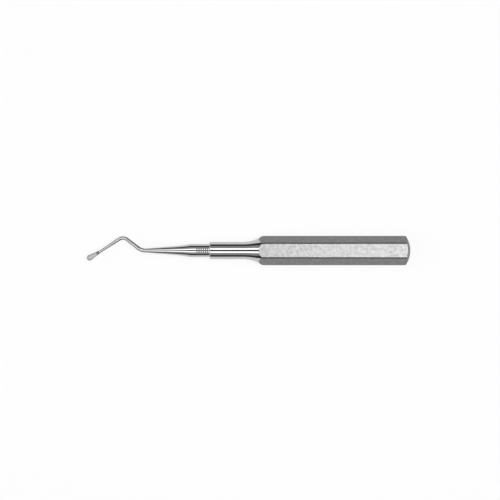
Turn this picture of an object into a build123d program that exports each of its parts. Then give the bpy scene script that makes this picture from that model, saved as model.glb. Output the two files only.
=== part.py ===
from build123d import *
import math
import os

# A bone curette, in millimetres and degrees. It lies on one flat of its hexagonal handle,
# with the bowl of its spoon facing up. The handle runs along +X to its domed end, and the
# origin is on the table, under the middle of the whole instrument.

# Handle: hexagonal bar, turned down to a round neck in front and domed at the back
HANDLE_LENGTH = 94.2
ACROSS_FLATS = 12.0
FLAT_EDGE_RADIUS = 0.45
DOME_RADIUS = 12.2
DOME_EDGE_RADIUS = 0.25
NECK_DIAMETER = 8.2
NECK_LENGTH = 15.65
NECK_EDGE_BREAK = 0.25
COVE_RADIUS = 15.5
SHOULDER_RADIUS = 3.7

# Socket in the neck, and the tang of the working end that is soldered into it
TANG_DIAMETER = 4.0
TANG_LENGTH = 17.5
TANG_LEAD_IN = 0.4
SOLDER_GAP = 0.02
SOCKET_END_ROOM = 0.8
SOCKET_MOUTH_CHAMFER = 0.2
DRILL_POINT_ANGLE = 118.0

# Collar and tapered shank
COLLAR_DIAMETER = 6.3
COLLAR_LENGTH = 9.0
COLLAR_EDGE_BREAK = 0.15
TAPER_LENGTH = 21.0
TAPER_SWEEP_RADIUS = 65.0
TAPER_SWEEP_ANGLE = 6.4

# Two bends in one plane carry the spoon out to one side, and a third sets it back a little
HEEL_ANGLE = 38.0
HEEL_BEND_RADIUS = 6.1
HEEL_DIAMETER = 2.04
ARM_LENGTH = 6.3
APEX_ANGLE = 71.1
APEX_BEND_RADIUS = 3.3
APEX_DIAMETER = 1.78
LEG_LENGTH = 9.8
SET_BACK_ANGLE = 2.1
SET_BACK_RADIUS = 10.0
STEM_DIAMETER = 1.34

# Spoon: drop-shaped body, cut open at the top and hollowed to a thin rim
SPOON_LENGTH = 7.6
SPOON_WIDTH = 2.8
SPOON_FLARE_ANGLE = 7.8
FLARE_RADIUS = 4.0
RIM_START = 2.6
ENTRY_RADIUS = 1.9
RIM_WIDTH = 0.1
BOWL_DEPTH = 0.7
BOWL_ROOT_WIDTH = 1.5

AXIS_HEIGHT = ACROSS_FLATS / 2
SOCKET_DIAMETER = TANG_DIAMETER + 2 * SOLDER_GAP
SOCKET_DEPTH = TANG_LENGTH + SOCKET_END_ROOM


def turned(*lines):
    """Turns the half outline that the lines draw above the X axis into a solid about X.

    The seam of its faces is underneath, clear of the spoon's rim.
    """
    outline = Curve() + list(lines)
    closing = Line(lines[-1] @ 1, lines[0] @ 0)
    return Rot(-90, 0, 0) * revolve(make_face(outline + closing), Axis.X)


def hexagonal_bar():
    """The bar that the handle is cut from, along X, with one flat down."""
    section = Plane.YZ * RegularPolygon(AXIS_HEIGHT, 6, major_radius=False)
    bar = extrude(section, HANDLE_LENGTH)
    return fillet(bar.edges().filter_by(Axis.X), FLAT_EDGE_RADIUS)


def turned_envelope():
    """What the lathe leaves: neck, cove, rounded shoulder and dome, out to the bar's corners."""
    neck_r = NECK_DIAMETER / 2
    corner_r = ACROSS_FLATS / math.sqrt(3)
    climb = COVE_RADIUS + SHOULDER_RADIUS - (corner_r - neck_r)
    sweep_angle = math.degrees(math.acos(climb / (COVE_RADIUS + SHOULDER_RADIUS)))
    dome_start = HANDLE_LENGTH - DOME_RADIUS + math.sqrt(DOME_RADIUS**2 - corner_r**2)
    face = Line((0, 0), (0, neck_r - NECK_EDGE_BREAK))
    edge = Line(face @ 1, (NECK_EDGE_BREAK, neck_r))
    neck = Line(edge @ 1, (NECK_LENGTH, neck_r))
    cove = JernArc(neck @ 1, (1, 0), COVE_RADIUS, sweep_angle)
    shoulder = JernArc(cove @ 1, cove % 1, SHOULDER_RADIUS, -sweep_angle)
    corner = Line(shoulder @ 1, (dome_start, corner_r))
    dome = RadiusArc(corner @ 1, (HANDLE_LENGTH, 0), DOME_RADIUS)
    return turned(face, edge, neck, cove, shoulder, corner, dome)


def socket():
    """The blind hole for the tang, with a drilled point and a small chamfer at its mouth."""
    radius = SOCKET_DIAMETER / 2
    point = radius / math.tan(math.radians(DRILL_POINT_ANGLE / 2))
    mouth = Line((0, radius + SOCKET_MOUTH_CHAMFER), (SOCKET_MOUTH_CHAMFER, radius))
    wall = Line(mouth @ 1, (SOCKET_DEPTH, radius))
    end = Line(wall @ 1, (SOCKET_DEPTH + point, 0))
    return turned(Line((0, 0), mouth @ 0), mouth, wall, end)


def handle():
    """The handle, with the front face of its neck at the origin."""
    body = hexagonal_bar() & turned_envelope()
    dome = body.faces().sort_by(Axis.X)[-1]
    body = fillet(dome.edges(), DOME_EDGE_RADIUS)
    return body - socket()


def collar():
    """The collar with the tang behind it, and the way from its back face to its front."""
    tang_r = TANG_DIAMETER / 2
    collar_r = COLLAR_DIAMETER / 2
    back = Line((0, tang_r), (0, collar_r - COLLAR_EDGE_BREAK))
    edge = Line(back @ 1, (COLLAR_EDGE_BREAK, collar_r))
    side = Line(edge @ 1, (COLLAR_LENGTH, collar_r))
    front = Line(side @ 1, (COLLAR_LENGTH, 0))
    lead_in = Line((-TANG_LENGTH, tang_r - TANG_LEAD_IN), (TANG_LEAD_IN - TANG_LENGTH, tang_r))
    end = Line((-TANG_LENGTH, 0), lead_in @ 0)
    tang = Line(lead_in @ 1, back @ 0)
    return turned(end, lead_in, tang, back, edge, side, front), Pos(COLLAR_LENGTH, 0, 0)


def taper():
    """The ground taper: a hollow sweep down from the collar, then a long cone to the heel."""
    collar_r = COLLAR_DIAMETER / 2
    heel_r = HEEL_DIAMETER / 2
    half_turn = math.radians(TAPER_SWEEP_ANGLE) / 2
    chord = 2 * TAPER_SWEEP_RADIUS * math.sin(half_turn)
    fall = collar_r - heel_r
    whole = math.hypot(TAPER_LENGTH, fall)
    cone_angle = math.atan2(fall, TAPER_LENGTH) - math.asin(chord * math.sin(half_turn) / whole)
    start_angle = cone_angle + 2 * half_turn
    back = Line((0, 0), (0, collar_r))
    first_way = (math.cos(start_angle), -math.sin(start_angle))
    sweep = JernArc(back @ 1, first_way, TAPER_SWEEP_RADIUS, TAPER_SWEEP_ANGLE)
    cone = Line(sweep @ 1, (TAPER_LENGTH, heel_r))
    return turned(back, sweep, cone, Line(cone @ 1, (TAPER_LENGTH, 0))), Pos(TAPER_LENGTH, 0, 0)


def straight(length, start_diameter, end_diameter):
    """A straight length of shank along X, and the way to its far end."""
    start = Line((0, 0), (0, start_diameter / 2))
    side = Line(start @ 1, (length, end_diameter / 2))
    return turned(start, side, Line(side @ 1, (length, 0))), Pos(length, 0, 0)


def bent(turn, bend_radius, diameter):
    """A bend in the level plane, to the left for a positive turn, and the way to its far end."""
    side = math.copysign(1, turn)
    angle = math.radians(abs(turn))
    reach = bend_radius * math.sin(angle)
    drift = side * bend_radius * (1 - math.cos(angle))
    way = Pos(reach, drift, 0) * Rot(0, 0, turn)
    section = Rot(0, 0, 90 - 90 * side) * Plane.YZ * Circle(diameter / 2)
    rightmost = section if turn > 0 else way * section
    return revolve(rightmost, Axis((0, side * bend_radius, 0), (0, 0, 1)), abs(turn)), way


def spoon_body():
    """The drop that the spoon is cut from: stem, straight flanks and a round nose."""
    flare = math.radians(SPOON_FLARE_ANGLE)
    stem_r = STEM_DIAMETER / 2
    nose_r = SPOON_WIDTH / 2
    nose_x = SPOON_LENGTH - nose_r
    flank_end = (nose_x - nose_r * math.sin(flare), nose_r * math.cos(flare))
    flank_start = (flank_end[0] - (flank_end[1] - stem_r) / math.tan(flare), stem_r)
    side = FilletPolyline((0, stem_r), flank_start, flank_end, radius=FLARE_RADIUS)
    nose = CenterArc((nose_x, 0), nose_r, 90 + SPOON_FLARE_ANGLE, -90 - SPOON_FLARE_ANGLE)
    return turned(Line((0, 0), (0, stem_r)), *side.edges(), nose)


def spoon_opening():
    """What is cut away over the spoon: all above the rim, and a hollow entry from the stem."""
    over = SPOON_LENGTH + SPOON_WIDTH
    rim = Line((RIM_START, 0), (over, 0))
    end = Line(rim @ 1, (over, ENTRY_RADIUS))
    top = Line(end @ 1, (RIM_START - ENTRY_RADIUS, ENTRY_RADIUS))
    entry = JernArc(rim @ 0, (-1, 0), ENTRY_RADIUS, -90)
    outline = make_face(Curve() + [rim, end, top, entry])
    return extrude(Plane.XZ * outline, SPOON_WIDTH, both=True)


def bowl():
    """The hollow of the spoon, ground with a tool that is held over the rim."""
    flare = math.radians(SPOON_FLARE_ANGLE)
    mouth_r = SPOON_WIDTH / 2 - RIM_WIDTH
    nose_r = (mouth_r**2 + BOWL_DEPTH**2) / (2 * BOWL_DEPTH)
    axis_over_rim = nose_r - BOWL_DEPTH
    nose_x = SPOON_LENGTH - SPOON_WIDTH / 2
    root_r = math.hypot(BOWL_ROOT_WIDTH / 2, axis_over_rim)
    root_x = nose_x - (nose_r - root_r) / math.sin(flare)
    nose = CenterArc((nose_x, 0), nose_r, 0, 90 + SPOON_FLARE_ANGLE)
    root = CenterArc((root_x, 0), root_r, 90 + SPOON_FLARE_ANGLE, 90 - SPOON_FLARE_ANGLE)
    return Pos(0, 0, axis_over_rim) * turned(nose, Line(nose @ 1, root @ 0), root)


def spoon():
    """The spoon from the end of the stem's last bend, and the way to the centre of its nose."""
    return spoon_body() - spoon_opening() - bowl(), Pos(SPOON_LENGTH - SPOON_WIDTH / 2, 0, 0)


def working_end():
    """Tang, collar, shank and spoon, from the collar's back face at the origin towards -X.

    Returns the piece and its reach from the origin to the foremost point of the spoon.
    """
    lengths = [
        collar(),
        taper(),
        bent(-HEEL_ANGLE, HEEL_BEND_RADIUS, HEEL_DIAMETER),
        straight(ARM_LENGTH, HEEL_DIAMETER, APEX_DIAMETER),
        bent(APEX_ANGLE, APEX_BEND_RADIUS, APEX_DIAMETER),
        straight(LEG_LENGTH, APEX_DIAMETER, STEM_DIAMETER),
        bent(-SET_BACK_ANGLE, SET_BACK_RADIUS, STEM_DIAMETER),
        spoon(),
    ]
    place = Rot(0, 0, 180)
    body = Part()
    for solid, way in lengths:
        body += place * solid
        place = place * way
    return body, SPOON_WIDTH / 2 - place.position.X


front, reach = working_end()
seat = Pos((reach - HANDLE_LENGTH) / 2, 0, AXIS_HEIGHT)

os.makedirs("parts", exist_ok=True)
export_step(seat * handle(), "parts/handle.step")
export_step(seat * front, "parts/working_end.step")
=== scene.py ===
import math

import bmesh
import bpy
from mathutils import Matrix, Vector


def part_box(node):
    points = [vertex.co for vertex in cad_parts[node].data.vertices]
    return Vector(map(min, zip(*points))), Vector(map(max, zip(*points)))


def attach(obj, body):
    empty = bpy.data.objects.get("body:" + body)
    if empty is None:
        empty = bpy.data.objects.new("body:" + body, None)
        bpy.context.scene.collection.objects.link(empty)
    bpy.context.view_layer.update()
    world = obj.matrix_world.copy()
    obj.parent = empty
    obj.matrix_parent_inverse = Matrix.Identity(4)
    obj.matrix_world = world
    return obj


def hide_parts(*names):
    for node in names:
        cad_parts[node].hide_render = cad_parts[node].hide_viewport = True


# A bone curette, lying on one flat of its hexagonal handle and seen from straight above.
# Sizes are in millimetres and angles in degrees; places are along the instrument's own axis.
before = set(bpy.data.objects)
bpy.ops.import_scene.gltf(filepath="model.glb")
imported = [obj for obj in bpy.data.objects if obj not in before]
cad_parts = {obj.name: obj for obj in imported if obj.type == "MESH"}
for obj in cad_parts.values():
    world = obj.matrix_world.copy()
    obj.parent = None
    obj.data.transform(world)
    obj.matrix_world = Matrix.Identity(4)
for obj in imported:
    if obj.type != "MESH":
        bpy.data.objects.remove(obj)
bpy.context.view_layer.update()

MM = 0.001

handle_low, handle_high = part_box("handle")
NECK_FACE = handle_low.x / MM
DOME_END = handle_high.x / MM
APOTHEM = handle_high.z / MM / 2
AXIS_HEIGHT = APOTHEM

# Handle
SIDES = 6
FLAT_EDGE_RADIUS = 0.45
DOME_RADIUS = 12.2
DOME_EDGE = 0.2
NECK_RADIUS = 4.1
NECK_LENGTH = 15.65
NECK_EDGE_BREAK = 0.25
COVE_RADIUS = 15.5
COVE_EDGE = 0.08
SHOULDER_RADIUS = 3.7

# Socket and tang
SOCKET_RADIUS = 2.02
SOCKET_DEPTH = 18.3
SOCKET_MOUTH_CHAMFER = 0.2
DRILL_POINT_ANGLE = 118.0
TANG_RADIUS = 2.0
TANG_LENGTH = 17.5
TANG_LEAD_IN = 0.4

# Collar, taper and the three bends of the shank
COLLAR_RADIUS = 3.15
COLLAR_LENGTH = 9.0
COLLAR_EDGE_BREAK = 0.15
TAPER_LENGTH = 21.0
TAPER_SWEEP_RADIUS = 65.0
TAPER_SWEEP_ANGLE = 6.4
HEEL_ANGLE = 38.0
HEEL_BEND_RADIUS = 6.1
HEEL_RADIUS = 1.02
ARM_LENGTH = 6.3
APEX_ANGLE = 71.1
APEX_BEND_RADIUS = 3.3
APEX_RADIUS = 0.89
LEG_LENGTH = 9.8
SET_BACK_ANGLE = 2.1
SET_BACK_RADIUS = 10.0
STEM_RADIUS = 0.67

# Spoon
SPOON_LENGTH = 7.6
SPOON_RADIUS = 1.4
SPOON_FLARE_ANGLE = 7.8
FLARE_RADIUS = 4.0
RIM_START = 2.6
ENTRY_RADIUS = 1.9
RIM_WIDTH = 0.1
BOWL_DEPTH = 0.7
BOWL_ROOT_RADIUS = 0.75

# Where the spoon's finishes change, from the end of the stem: the polish ends where painted shade
# starts, satin follows round the sides, and the painted shade goes on inside the opening
ROOT_SHADE_START = 1.05
SATIN_START = 1.5
ROOT_SHADE_END = 2.5

# Points of a skin that are closer than this are one point, and faces thinner than this go
SAME_POINT = 0.0008
NO_WIDTH = 0.0004
# Edges that turn by more than this stay sharp
HANDLE_SHARP_OVER = 30.0
END_SHARP_OVER = 28.0


def spread(start, end, steps):
    """Evenly spaced values from start to end, both included."""
    return [start + (end - start) * k / steps for k in range(steps + 1)]


def solve(height, low, high, halvings=50):
    """Where height, which changes sign once between low and high, is nought."""
    rising = height(high) > height(low)
    for _ in range(halvings):
        middle = (low + high) / 2
        if (height(middle) > 0) == rising:
            high = middle
        else:
            low = middle
    return (low + high) / 2


def skin(name, rings, finish_of, finishes, sharp_over):
    """A closed mesh over rings of points in millimetres; each end ring has shrunk to one point.

    finish_of names the finish of the face that follows a row and a column, and finishes holds
    the material for each name.
    """
    mesh = bmesh.new()
    rows = [[mesh.verts.new([c * MM for c in point]) for point in ring] for ring in rings]
    count = len(rows[0])
    slots = list(finishes)
    for i, (row, following) in enumerate(zip(rows, rows[1:])):
        for j in range(count):
            k = (j + 1) % count
            face = mesh.faces.new((row[j], row[k], following[k], following[j]))
            face.material_index = slots.index(finish_of(i, j))
    bmesh.ops.remove_doubles(mesh, verts=mesh.verts, dist=SAME_POINT * MM)
    bmesh.ops.dissolve_degenerate(mesh, edges=mesh.edges, dist=NO_WIDTH * MM)
    bmesh.ops.recalc_face_normals(mesh, faces=mesh.faces)
    for face in mesh.faces:
        face.smooth = True
    for edge in mesh.edges:
        if len(edge.link_faces) == 2 and edge.calc_face_angle() > math.radians(sharp_over):
            edge.smooth = False
    data = bpy.data.meshes.new(name)
    mesh.to_mesh(data)
    mesh.free()
    for finish in finishes.values():
        data.materials.append(finish)
    piece = bpy.data.objects.new(name, data)
    bpy.context.scene.collection.objects.link(piece)
    return piece


# Handle: a turned outline and a hexagonal bar, whichever is nearer to the axis

SIDE_ANGLE = 360 / SIDES
HALF_SIDE = SIDE_ANGLE / 2
COVE_CENTRE = NECK_RADIUS + COVE_RADIUS
CORNER_RADIUS = APOTHEM / math.cos(math.radians(HALF_SIDE))
COVE_SWEEP = math.acos(1 - (CORNER_RADIUS - NECK_RADIUS) / (COVE_RADIUS + SHOULDER_RADIUS))
COVE_END = NECK_LENGTH + COVE_RADIUS * math.sin(COVE_SWEEP)
SHOULDER_END = COVE_END + SHOULDER_RADIUS * math.sin(COVE_SWEEP)
DOME_CENTRE = DOME_END - NECK_FACE - DOME_RADIUS
FLAT_REACH = math.degrees(
    math.atan((APOTHEM - FLAT_EDGE_RADIUS) * math.tan(math.radians(HALF_SIDE)) / APOTHEM)
)

# Columns of points round each flat and the rounded edge after it
FLAT_COLUMNS = 19
EDGE_STEPS = 8
EDGE_MARGIN_ANGLE = 1.2
SIDE_COLUMNS = FLAT_COLUMNS + EDGE_STEPS + 1

# Rings of points along the handle: even ones on each stretch, and closer ones, at these places,
# over the cove's crest and over the dome's edge, which the even ones stop short of
SOCKET_RINGS = 5
NECK_STEPS = 6
COVE_STEPS = 22
CREST_PLACES = (-0.35, -0.22, -0.12, -0.05, 0, 0.05, 0.12, 0.22, 0.35)
BEFORE_CREST = 0.5
AFTER_CREST = 0.6
BAR_STEPS = 16
BEFORE_DOME_EDGE = 0.5
DOME_EDGE_PLACES = (-0.3, -0.15, -0.1, -0.06, -0.03, 0, 0.03, 0.06, 0.1, 0.15)
DOME_STEPS = 14

# Rows of faces at which the polish and the bar end
FIRST_CREST_ROW = SOCKET_RINGS + NECK_STEPS + 1 + COVE_STEPS
CREST_ROW = FIRST_CREST_ROW + CREST_PLACES.index(0)
FIRST_DOME_EDGE_ROW = FIRST_CREST_ROW + len(CREST_PLACES) + BAR_STEPS + 1
DOME_ROW = FIRST_DOME_EDGE_ROW + DOME_EDGE_PLACES.index(0)


def turned_radius(x):
    """Radius that the lathe leaves in the cove, on the shoulder and on the dome."""
    if x <= NECK_LENGTH:
        return NECK_RADIUS
    if x <= COVE_END:
        return COVE_CENTRE - math.sqrt(COVE_RADIUS**2 - (x - NECK_LENGTH) ** 2)
    if x <= SHOULDER_END:
        drop = math.sqrt(SHOULDER_RADIUS**2 - (SHOULDER_END - x) ** 2)
        return CORNER_RADIUS - SHOULDER_RADIUS + drop
    return math.sqrt(max(0, DOME_RADIUS**2 - (x - DOME_CENTRE) ** 2))


def bar_radius(angle):
    """Distance from the axis to the bar's rounded hexagon, at an angle from straight up."""
    off = abs((angle + HALF_SIDE) % SIDE_ANGLE - HALF_SIDE)
    if off <= FLAT_REACH:
        return APOTHEM / math.cos(math.radians(off))
    edge_centre = (APOTHEM - FLAT_EDGE_RADIUS) / math.cos(math.radians(HALF_SIDE))
    lean = math.radians(HALF_SIDE - off)
    return edge_centre * math.cos(lean) + math.sqrt(
        FLAT_EDGE_RADIUS**2 - (edge_centre * math.sin(lean)) ** 2
    )


def worn(a, b, size):
    """The smaller of two radii, with the edge where they meet rounded over."""
    overlap = max(0, size - abs(a - b))
    return min(a, b) - overlap**2 / (4 * size)


def handle_column(angle):
    """Places and radii along the handle's skin at one angle, from the socket's point on."""
    bar = bar_radius(angle)
    point = SOCKET_RADIUS / math.tan(math.radians(DRILL_POINT_ANGLE / 2))
    socket = [
        (SOCKET_DEPTH + point, 0),
        (SOCKET_DEPTH, SOCKET_RADIUS),
        (SOCKET_MOUTH_CHAMFER, SOCKET_RADIUS),
        (0, SOCKET_RADIUS + SOCKET_MOUTH_CHAMFER),
        (0, NECK_RADIUS - NECK_EDGE_BREAK),
    ]
    neck = [(x, NECK_RADIUS) for x in spread(NECK_EDGE_BREAK, NECK_LENGTH, NECK_STEPS)]
    crest = solve(lambda x: turned_radius(x) - bar, NECK_LENGTH, SHOULDER_END)
    cove_x = spread(NECK_LENGTH, crest - BEFORE_CREST, COVE_STEPS)[1:]
    crest_x = [crest + place for place in CREST_PLACES]
    cove = [(x, worn(turned_radius(x), bar, COVE_EDGE)) for x in cove_x + crest_x]
    dome_edge = DOME_CENTRE + math.sqrt(DOME_RADIUS**2 - bar**2)
    flat_x = spread(crest + AFTER_CREST, dome_edge - BEFORE_DOME_EDGE, BAR_STEPS)
    flat = [(x, bar) for x in flat_x]
    rim_x = [dome_edge + place for place in DOME_EDGE_PLACES]
    rim = [(x, worn(turned_radius(x), bar, DOME_EDGE)) for x in rim_x]
    lean = math.asin(turned_radius(rim_x[-1]) / DOME_RADIUS)
    dome = [
        (DOME_CENTRE + DOME_RADIUS * math.cos(a), DOME_RADIUS * math.sin(a))
        for a in spread(lean, 0, DOME_STEPS)[1:]
    ]
    return socket + neck + cove + flat + rim + dome


def handle_angles():
    """Angles round the handle, closer together over each rounded edge of the bar."""
    half = FLAT_REACH - EDGE_MARGIN_ANGLE
    flat = spread(-half, half, FLAT_COLUMNS - 1)
    edge = spread(FLAT_REACH, SIDE_ANGLE - FLAT_REACH, EDGE_STEPS)
    return [SIDE_ANGLE * side + off for side in range(SIDES) for off in flat + edge]


def handle(finishes):
    """Handle skin: neck and cove polished, flats and dome satin, long edges a painted dark
    reflection.
    """
    angles = handle_angles()
    columns = [handle_column(angle) for angle in angles]
    rings = []
    for row in zip(*columns):
        ring = []
        for angle, (x, r) in zip(angles, row):
            a = math.radians(angle)
            ring.append((NECK_FACE + x, r * math.sin(a), AXIS_HEIGHT + r * math.cos(a)))
        rings.append(ring)

    def finish_of(row, column):
        if row < CREST_ROW:
            return "polished"
        on_edge = column % SIDE_COLUMNS >= FLAT_COLUMNS - 1
        # The long edges take a painted dark reflection of the room in place of the satin's tone
        return "burnished" if on_edge and row < DOME_ROW else "satin"

    return skin("handle_bar", rings, finish_of, finishes, HANDLE_SHARP_OVER)


# Working end: round sections along a bent route, opened at the top over the spoon

SPOON_FLARE = math.radians(SPOON_FLARE_ANGLE)
NOSE = SPOON_LENGTH - SPOON_RADIUS
FLANK_END = NOSE - SPOON_RADIUS * math.sin(SPOON_FLARE)
FLANK_RISE = SPOON_RADIUS * math.cos(SPOON_FLARE) - STEM_RADIUS
FLANK_START = FLANK_END - FLANK_RISE / math.tan(SPOON_FLARE)
FLARE_REACH = FLARE_RADIUS * math.tan(SPOON_FLARE / 2)
MOUTH_RADIUS = SPOON_RADIUS - RIM_WIDTH
BOWL_RADIUS = (MOUTH_RADIUS**2 + BOWL_DEPTH**2) / (2 * BOWL_DEPTH)
BOWL_LIFT = BOWL_RADIUS - BOWL_DEPTH
ROOT_RADIUS = math.hypot(BOWL_ROOT_RADIUS, BOWL_LIFT)
ROOT = NOSE - (BOWL_RADIUS - ROOT_RADIUS) / math.sin(SPOON_FLARE)

# Points of half a section: round the outside, over the land of the rim, and into the bowl. The
# other half follows the same way back, so the land and the bowl are in the middle of a ring.
OUTER_STEPS = 24
LAND_STEPS = 2
BOWL_STEPS = 12
HALF_RING = OUTER_STEPS + LAND_STEPS + BOWL_STEPS

# Rings along the working end
TAPER_STEPS = 24
DEGREES_PER_RING = 2
STEM_STEPS = 6
ENTRY_STEPS = 12
ROOT_STEPS = 10
FLANK_STEPS = 18
NOSE_STEPS = 18
TIP_STEPS = 6


def drop_radius(t):
    """Radius of the drop that the spoon is ground from, at t from the end of the stem."""
    if t < FLANK_START - FLARE_REACH:
        return STEM_RADIUS
    if t < FLANK_START + FLARE_REACH * math.cos(SPOON_FLARE):
        along = t - FLANK_START + FLARE_REACH
        return STEM_RADIUS + FLARE_RADIUS - math.sqrt(FLARE_RADIUS**2 - along**2)
    if t < FLANK_END:
        return STEM_RADIUS + (t - FLANK_START) * math.tan(SPOON_FLARE)
    return math.sqrt(max(0, SPOON_RADIUS**2 - (t - NOSE) ** 2))


def bowl_radius(t):
    """Radius of the bowl's hollow about its own axis, BOWL_LIFT over the rim."""
    if t > NOSE - BOWL_RADIUS * math.sin(SPOON_FLARE):
        return math.sqrt(max(0, BOWL_RADIUS**2 - (t - NOSE) ** 2))
    if t > ROOT - ROOT_RADIUS * math.sin(SPOON_FLARE):
        slant = (t - ROOT) * math.tan(SPOON_FLARE)
        return ROOT_RADIUS / math.cos(SPOON_FLARE) + slant
    return math.sqrt(max(0, ROOT_RADIUS**2 - (t - ROOT) ** 2))


def cut_height(t):
    """Height over the rim's plane to which the spoon's top is ground away."""
    back = min(max(0, RIM_START - t), ENTRY_RADIUS)
    return ENTRY_RADIUS - math.sqrt(ENTRY_RADIUS**2 - back**2)


def half_section(radius, cut, hollow):
    """Half a cross-section as (y, z), from the keel out, over the edge and into the bowl."""
    cut = min(cut, radius)
    rise = math.asin(cut / radius) if radius > 0 else 0
    outer = [
        (radius * math.cos(a), radius * math.sin(a))
        for a in spread(-math.pi / 2, rise, OUTER_STEPS)
    ]
    edge = outer[-1][0]
    depth = BOWL_LIFT - cut
    lip = min(edge, math.sqrt(max(0, hollow**2 - depth**2)))
    land = [(y, cut) for y in spread(edge, lip, LAND_STEPS)[1:]]
    if lip <= 0:
        return outer + land + [(0, cut)] * BOWL_STEPS
    start = math.atan2(-depth, lip)
    bowl = [
        (hollow * math.cos(a), BOWL_LIFT + hollow * math.sin(a))
        for a in spread(start, -math.pi / 2, BOWL_STEPS)[1:]
    ]
    return outer + land + bowl


def round_section(radius):
    """Half a plain round section."""
    return half_section(radius, radius, 0)


def ring_at(x, y, heading, half):
    """A whole ring from half a section, stood across the route at a place and heading."""
    left = (-math.sin(heading), math.cos(heading))
    whole = half + [(-v, z) for v, z in half[-2:0:-1]]
    return [(x + v * left[0], y + v * left[1], AXIS_HEIGHT + z) for v, z in whole]


def taper_radius(t):
    """Radius of the taper at t from the collar: a hollow sweep, then a long cone."""
    half_turn = math.radians(TAPER_SWEEP_ANGLE) / 2
    chord = 2 * TAPER_SWEEP_RADIUS * math.sin(half_turn)
    fall = COLLAR_RADIUS - HEEL_RADIUS
    whole = math.hypot(TAPER_LENGTH, fall)
    cone = math.atan2(fall, TAPER_LENGTH) - math.asin(chord * math.sin(half_turn) / whole)
    start = cone + 2 * half_turn
    sweep_end = TAPER_SWEEP_RADIUS * (math.sin(start) - math.sin(cone))
    if t > sweep_end:
        return HEEL_RADIUS + (TAPER_LENGTH - t) * math.tan(cone)
    lean = math.asin(math.sin(start) - t / TAPER_SWEEP_RADIUS)
    return COLLAR_RADIUS - TAPER_SWEEP_RADIUS * (math.cos(lean) - math.cos(start))


def gathered(start, end, steps):
    """Values from after start to end, closest together at the start."""
    return [start + (end - start) * (k / steps) ** 2 for k in range(1, steps + 1)]


def eased(start, end, steps):
    """Values from after start to end, closest together at the end."""
    return [start + (end - start) * math.sin(a) for a in spread(0, math.pi / 2, steps)[1:]]


def spoon_stations():
    """Places along the spoon, close together where its opening and its bowl begin and end."""
    opening = solve(
        lambda t: drop_radius(t) - cut_height(t),
        RIM_START - ENTRY_RADIUS,
        RIM_START,
    )
    bowl_start = solve(
        lambda t: bowl_radius(t) - BOWL_LIFT + cut_height(t),
        ROOT - ROOT_RADIUS,
        ROOT,
    )
    bowl_end = NOSE + MOUTH_RADIUS
    stem = spread(0, opening, STEM_STEPS)[1:]
    entry = gathered(opening, bowl_start, ENTRY_STEPS)
    root = gathered(bowl_start, ROOT, ROOT_STEPS)
    flank = spread(ROOT, NOSE, FLANK_STEPS)[1:]
    nose = eased(NOSE, bowl_end, NOSE_STEPS)
    tip = eased(bowl_end, bowl_end + RIM_WIDTH, TIP_STEPS)
    return stem + entry + root + flank + nose + tip


def route(stations):
    """Rings of the working end, from the tang's end to the spoon's tip."""
    rings = []
    x, y, heading = NECK_FACE, 0.0, math.pi

    def stand(half, ahead=0.0):
        at_x = x + ahead * math.cos(heading)
        at_y = y + ahead * math.sin(heading)
        rings.append(ring_at(at_x, at_y, heading, half))

    def go(length):
        nonlocal x, y
        x += length * math.cos(heading)
        y += length * math.sin(heading)

    def bend(turn, bend_radius, radius):
        nonlocal heading
        steps = max(2, round(abs(turn) / DEGREES_PER_RING))
        for _ in range(steps):
            part = math.radians(turn) / steps
            chord = 2 * bend_radius * math.sin(abs(part) / 2)
            heading += part / 2
            go(chord)
            heading += part / 2
            stand(round_section(radius))

    for ahead, radius in (
        (-TANG_LENGTH, 0),
        (-TANG_LENGTH, TANG_RADIUS - TANG_LEAD_IN),
        (TANG_LEAD_IN - TANG_LENGTH, TANG_RADIUS),
        (0, TANG_RADIUS),
        (0, COLLAR_RADIUS - COLLAR_EDGE_BREAK),
        (COLLAR_EDGE_BREAK, COLLAR_RADIUS),
        (COLLAR_LENGTH / 2, COLLAR_RADIUS),
        (COLLAR_LENGTH, COLLAR_RADIUS),
    ):
        stand(round_section(radius), ahead)
    go(COLLAR_LENGTH)
    for t in spread(0, TAPER_LENGTH, TAPER_STEPS)[1:]:
        stand(round_section(taper_radius(t)), t)
    go(TAPER_LENGTH)
    bend(-HEEL_ANGLE, HEEL_BEND_RADIUS, HEEL_RADIUS)
    stand(round_section(APEX_RADIUS), ARM_LENGTH)
    go(ARM_LENGTH)
    bend(APEX_ANGLE, APEX_BEND_RADIUS, APEX_RADIUS)
    stand(round_section(STEM_RADIUS), LEG_LENGTH)
    go(LEG_LENGTH)
    bend(-SET_BACK_ANGLE, SET_BACK_RADIUS, STEM_RADIUS)
    for t in stations:
        stand(half_section(drop_radius(t), cut_height(t), bowl_radius(t)), t)
    return rings


def working_end(finishes):
    """The working end's skin: polished, painted shade where the spoon begins, and satin beyond."""
    stations = spoon_stations()
    rings = route(stations)
    before_spoon = len(rings) - len(stations) - 1

    def finish_of(row, column):
        t = stations[row - before_spoon] if row >= before_spoon else 0
        if t < ROOT_SHADE_START:
            return "polished"
        in_opening = OUTER_STEPS <= column < 2 * HALF_RING - OUTER_STEPS
        # Painted shade: a dark band all round before the satin, and on inside the opening
        return "ground" if t < SATIN_START or in_opening and t < ROOT_SHADE_END else "satin"

    return skin("curette_end", rings, finish_of, finishes, END_SHARP_OVER)


# Finishes

# Sockets of a Mix node that have no name of their own: its share, and the two inputs and the
# output of its colours or of its plain values
MIX_SHARE = 0
MIX_COLOUR_A, MIX_COLOUR_B, MIX_COLOUR = 6, 7, 2
MIX_VALUE_A, MIX_VALUE_B = 2, 3

# Between these most values of a noise lie, and of two noises added up
NOISE_LOW, NOISE_HIGH = 0.3, 0.7
TWO_NOISES_LOW, TWO_NOISES_HIGH = 0.7, 1.3

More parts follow.
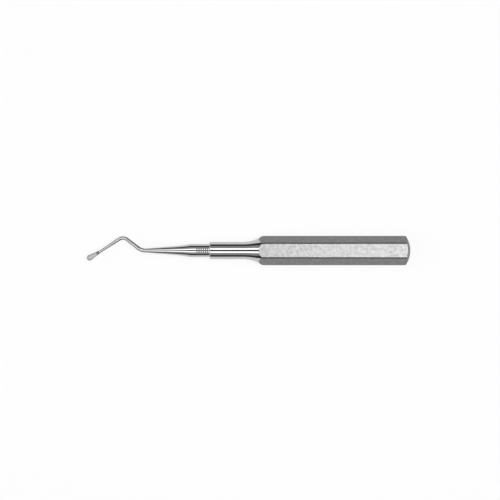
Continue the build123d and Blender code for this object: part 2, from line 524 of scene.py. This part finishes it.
BEAD_DEPTH = 0.03
BEAD_ROUGHNESS_SWING = 0.01
HAIR_LINE_DEPTH = 0.01
HAIR_LINE_STRETCH = 0.06
HAZE_SIZE = 4.0
HAZE_ROUGHNESS_SWING = 0.2
ETCHED_COLOUR = "505050"
ETCHED_ROUGHNESS = 0.45


def linear(code):
    """A colour written as sRGB hex, as linear red, green, blue and alpha."""
    parts = [int(code[i : i + 2], 16) / 255 for i in (0, 2, 4)]
    return [c / 12.92 if c <= 0.04045 else ((c + 0.055) / 1.055) ** 2.4 for c in parts] + [1.0]


def add(tree, kind, inputs=(), **settings):
    """Adds one shader node; inputs pairs a socket with a value or with what feeds it."""
    made = tree.nodes.new("ShaderNode" + kind)
    for name, value in settings.items():
        setattr(made, name, value)
    for socket, value in dict(inputs).items():
        if isinstance(value, bpy.types.NodeSocket):
            tree.links.new(value, made.inputs[socket])
        else:
            made.inputs[socket].default_value = value
    return made


def blank(name):
    """A new material with only its output, and that output."""
    material = bpy.data.materials.new(name)
    material.use_nodes = True
    material.node_tree.nodes.clear()
    return material, add(material.node_tree, "OutputMaterial")


def per_metre(millimetres):
    """Scale of a noise whose features are that many millimetres across."""
    return 1 / (millimetres * MM)


def blasted_steel(name, dark, light, mottle, grain, rough):
    """Stainless steel blasted with fine glass beads.

    To the eye it is a soft grey with no mirror image, faintly mottled where the beads struck
    harder, and it darkens quickly as it turns away from the light.
    """
    material, out = blank(name)
    tree = material.node_tree
    at = add(tree, "TexCoord").outputs["Object"]
    patch = add(
        tree,
        "TexNoise",
        {"Vector": at, "Scale": per_metre(mottle), "Detail": 3.0, "Roughness": 0.6},
    ).outputs["Fac"]
    # Bead marks are 0.05 mm in the real surface and drawn several times coarser, so that they show
    beads = add(
        tree,
        "TexNoise",
        {"Vector": at, "Scale": per_metre(grain), "Detail": 2.0},
    ).outputs["Fac"]
    both = add(tree, "Math", {0: patch, 1: beads}, operation="ADD")
    tone = add(
        tree,
        "MapRange",
        {"Value": both.outputs[0], "From Min": TWO_NOISES_LOW, "From Max": TWO_NOISES_HIGH},
    )
    colour = add(
        tree,
        "Mix",
        {MIX_SHARE: tone.outputs[0], MIX_COLOUR_A: linear(dark), MIX_COLOUR_B: linear(light)},
        data_type="RGBA",
    )
    sheen = add(
        tree,
        "MapRange",
        {
            "Value": patch,
            "From Min": NOISE_LOW,
            "From Max": NOISE_HIGH,
            "To Min": rough + BEAD_ROUGHNESS_SWING,
            "To Max": rough - BEAD_ROUGHNESS_SWING,
        },
    )
    bump = add(
        tree,
        "Bump",
        {"Height": beads, "Strength": 0.15, "Distance": BEAD_DEPTH * MM},
    )
    shader = add(
        tree,
        "BsdfPrincipled",
        {
            "Base Color": colour.outputs[MIX_COLOUR],
            "Roughness": sheen.outputs[0],
            "Normal": bump.outputs[0],
            "Metallic": 1.0,
        },
    )
    tree.links.new(shader.outputs[0], out.inputs[0])
    return material


def polished_steel(name, base, cloudy, line_spacing, rough, marks=None):
    """Stainless steel turned and then polished on a soft wheel.

    To the eye it is a dark mirror with long bright reflections, whose edges are a little
    feathered by the hair lines that the wheel leaves round the piece.
    """
    material, out = blank(name)
    tree = material.node_tree
    at = add(tree, "TexCoord").outputs["Object"]
    # Hair lines are about 0.02 mm apart in the real surface and drawn coarser, so that they show
    stretched = add(
        tree,
        "Mapping",
        {"Vector": at, "Scale": (1.0, HAIR_LINE_STRETCH, HAIR_LINE_STRETCH)},
    )
    lines = add(
        tree,
        "TexNoise",
        {"Vector": stretched.outputs[0], "Scale": per_metre(line_spacing), "Detail": 2.0},
    )
    haze = add(
        tree,
        "TexNoise",
        {"Vector": at, "Scale": per_metre(HAZE_SIZE), "Detail": 2.0},
    ).outputs["Fac"]
    colour = add(
        tree,
        "Mix",
        {MIX_SHARE: haze, MIX_COLOUR_A: linear(base), MIX_COLOUR_B: linear(cloudy)},
        data_type="RGBA",
    ).outputs[MIX_COLOUR]
    sheen = add(
        tree,
        "MapRange",
        {
            "Value": haze,
            "From Min": NOISE_LOW,
            "From Max": NOISE_HIGH,
            "To Min": rough * (1 - HAZE_ROUGHNESS_SWING),
            "To Max": rough * (1 + HAZE_ROUGHNESS_SWING),
        },
    ).outputs[0]
    if marks:
        etched = marks(tree, at)
        colour = add(
            tree,
            "Mix",
            {MIX_SHARE: etched, MIX_COLOUR_A: colour, MIX_COLOUR_B: linear(ETCHED_COLOUR)},
            data_type="RGBA",
        ).outputs[MIX_COLOUR]
        sheen = add(
            tree,
            "Mix",
            {MIX_SHARE: etched, MIX_VALUE_A: sheen, MIX_VALUE_B: ETCHED_ROUGHNESS},
        ).outputs[0]
    bump = add(
        tree,
        "Bump",
        {"Height": lines.outputs["Fac"], "Strength": 0.03, "Distance": HAIR_LINE_DEPTH * MM},
    )
    shader = add(
        tree,
        "BsdfPrincipled",
        {"Base Color": colour, "Roughness": sheen, "Normal": bump.outputs[0], "Metallic": 1.0},
    )
    tree.links.new(shader.outputs[0], out.inputs[0])
    return material


# Marks on the top of the collar: ticks in a row round a middle
MARK_MIDDLE = NECK_FACE - 3.4
MARK_PITCH = 1.0
MARK_WIDTH = 0.52
MARK_ROW = 5.4
MARK_HEIGHT = 1.9


def etched_ticks(tree, at):
    """Plain laser-etched ticks in a row on the top of the collar: 1 on a tick, 0 elsewhere."""
    x, y, z = add(tree, "SeparateXYZ", {0: at}).outputs
    along = add(tree, "Math", {0: x, 1: MARK_MIDDLE * MM}, operation="SUBTRACT").outputs[0]
    step = add(tree, "Math", {0: along, 1: MARK_PITCH * MM, 2: 0.0}, operation="WRAP").outputs[0]
    mask = add(tree, "Math", {0: z, 1: AXIS_HEIGHT * MM}, operation="GREATER_THAN").outputs[0]
    for value, middle, half in (
        (step, MARK_PITCH / 2 * MM, MARK_WIDTH / 2 * MM),
        (along, 0.0, MARK_ROW / 2 * MM),
        (y, 0.0, MARK_HEIGHT / 2 * MM),
    ):
        inside = add(tree, "Math", {0: value, 1: middle, 2: half}, operation="COMPARE")
        both = add(tree, "Math", {0: mask, 1: inside.outputs[0]}, operation="MULTIPLY")
        mask = both.outputs[0]
    return mask


HANDLE_BEADS = {"mottle": 1.3, "grain": 0.32}
SPOON_BEADS = {"mottle": 0.6, "grain": 0.2}
POLISH = {"base": "BABABA", "cloudy": "C6C6C6", "line_spacing": 0.25}

handle_satin = blasted_steel(
    "blasted_stainless_steel", dark="787878", light="989898", rough=0.5, **HANDLE_BEADS
)
handle_mirror = polished_steel("polished_stainless_steel", rough=0.05, **POLISH)
end_mirror = polished_steel("polished_marked_steel", rough=0.06, marks=etched_ticks, **POLISH)
# The long edges are smoother than the flats and painted darker, a painted reflection of the dark
# room
painted_dark_edges = blasted_steel(
    "painted_dark_edge_steel", dark="343434", light="404040", rough=0.34, **HANDLE_BEADS
)
# The spoon is blasted paler and duller than the handle
spoon_satin = blasted_steel(
    "blasted_spoon_steel", dark="C4C4C4", light="CECECE", rough=0.8, **SPOON_BEADS
)
# The spoon's root is painted darker than the blasted rest: painted shade over a glint and the
# hollow's start
painted_root_shade = blasted_steel(
    "painted_shade_root_steel", dark="8C8C8C", light="989898", rough=0.8, **SPOON_BEADS
)

bar = handle({"polished": handle_mirror, "satin": handle_satin, "burnished": painted_dark_edges})
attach(bar, "root")
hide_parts("handle")

end = working_end({"polished": end_mirror, "satin": spoon_satin, "ground": painted_root_shade})
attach(end, "root")
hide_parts("working_end")

# Stage: a pale floor, softboxes over the instrument, and a nearly dark room with pale end walls.
# The stage and the camera are placed in metres.

LAMP_HEIGHT = 0.9
# Each softbox: its shape, where it starts and ends along the table, at which angles from
# straight up it starts and ends sideways, and how bright it is, where 1 is white paper.
# Two bright ones draw the long reflections, two dim ones the grey beside them, and the round
# one stands over the handle's top flat.
SOFTBOXES = {
    "softbox_back": ("RECTANGLE", -2.4, 0.12, 10.5, 31.0, 2.2),
    "softbox_front": ("RECTANGLE", -2.4, 0.12, -31.0, -10.5, 2.2),
    "fill_back": ("RECTANGLE", -3.6, 0.02, 31.0, 62.0, 0.34),
    "fill_front": ("RECTANGLE", -3.6, 0.02, -62.0, -31.0, 0.34),
    "round_softbox": ("ELLIPSE", 0.035, 0.4, -10.5, 10.5, 18.5),
}
# Share of the bounding rectangle that each shape fills
FILLED = {"RECTANGLE": 1.0, "ELLIPSE": math.pi / 4}


def softbox(name, shape, start, end, near, far, radiance):
    """A lamp overhead that faces straight down and is equally bright all over."""
    near, far = [LAMP_HEIGHT * math.tan(math.radians(angle)) for angle in (near, far)]
    light = bpy.data.lights.new(name, "AREA")
    light.shape = shape
    light.size = end - start
    light.size_y = far - near
    light.energy = radiance * math.pi * FILLED[shape] * light.size * light.size_y
    lamp = bpy.data.objects.new(name, light)
    lamp.location = ((start + end) / 2, (near + far) / 2, LAMP_HEIGHT)
    bpy.context.scene.collection.objects.link(lamp)


for lamp_name, placing in SOFTBOXES.items():
    softbox(lamp_name, *placing)

FLOOR_HALF_WIDTH = 6.0
FLOOR_DROP = 0.02 * MM
# Share of plain white in what the camera and the metal see of the floor; the rest shows shadow
FLOOR_WHITE = 0.85


def floor():
    """A plain pale floor, which the camera and the metal both see as nearly white."""
    mesh = bmesh.new()
    bmesh.ops.create_grid(mesh, x_segments=4, y_segments=4, size=FLOOR_HALF_WIDTH)
    data = bpy.data.meshes.new("floor")
    mesh.to_mesh(data)
    mesh.free()
    sheet = bpy.data.objects.new("floor", data)
    sheet.location.z = -FLOOR_DROP
    bpy.context.scene.collection.objects.link(sheet)
    material, out = blank("pale_floor")
    tree = material.node_tree
    rays = add(tree, "LightPath").outputs
    seen = rays["Is Camera Ray"]
    for ray in ("Is Glossy Ray", "Is Transmission Ray"):
        seen = add(tree, "Math", {0: seen, 1: rays[ray]}, operation="MAXIMUM").outputs[0]
    share = add(tree, "Math", {0: seen, 1: FLOOR_WHITE}, operation="MULTIPLY")
    paper = add(tree, "BsdfDiffuse", {"Color": linear("E8E8E8")})
    white = add(tree, "Emission", {"Color": linear("FFFFFF"), "Strength": 1.0})
    mixed = add(
        tree,
        "MixShader",
        {0: share.outputs[0], 1: paper.outputs[0], 2: white.outputs[0]},
    )
    tree.links.new(mixed.outputs[0], out.inputs[0])
    data.materials.append(material)


floor()

# How bright the room is in each direction, from past the spoon at 0 to past the dome at 1
ROOM_LIGHT = 0.05
WALL_LIGHT = 0.6
ROOM_TONES = ((0.03, WALL_LIGHT), (0.06, ROOM_LIGHT), (0.88, ROOM_LIGHT), (0.94, WALL_LIGHT))


def room():
    """A nearly dark room with a pale wall beyond each end of the instrument."""
    world = bpy.data.worlds.new("room")
    bpy.context.scene.world = world
    world.use_nodes = True
    tree = world.node_tree
    tree.nodes.clear()
    way = add(tree, "TexCoord").outputs["Generated"]
    lengthways = add(tree, "SeparateXYZ", {0: way}).outputs[0]
    along = add(tree, "MapRange", {"Value": lengthways, "From Min": -1.0, "From Max": 1.0})
    tones = add(tree, "ValToRGB", {0: along.outputs[0]})
    ramp = tones.color_ramp
    for end_wall in ramp.elements:
        end_wall.color = (WALL_LIGHT, WALL_LIGHT, WALL_LIGHT, 1.0)
    for position, value in ROOM_TONES:
        ramp.elements.new(position).color = (value, value, value, 1.0)
    light = add(tree, "Background", {0: tones.outputs[0]})
    out = add(tree, "OutputWorld")
    tree.links.new(light.outputs[0], out.inputs[0])


room()

# Camera: straight above, as far away as the handle's own perspective in the picture says

CAMERA_HEIGHT = 0.664
CAMERA_X = 0.00072
CAMERA_Y = 0.00026
CAMERA_LENS = 100.8
SENSOR_WIDTH = 36.0
NEAREST_SEEN = 0.01

camera_data = bpy.data.cameras.new("camera")
camera_data.lens = CAMERA_LENS
camera_data.sensor_width = SENSOR_WIDTH
camera_data.clip_start = NEAREST_SEEN
camera = bpy.data.objects.new("camera", camera_data)
camera.location = (CAMERA_X, CAMERA_Y, CAMERA_HEIGHT)
bpy.context.scene.collection.objects.link(camera)
bpy.context.scene.camera = camera
bpy.context.scene.view_settings.view_transform = "Standard"
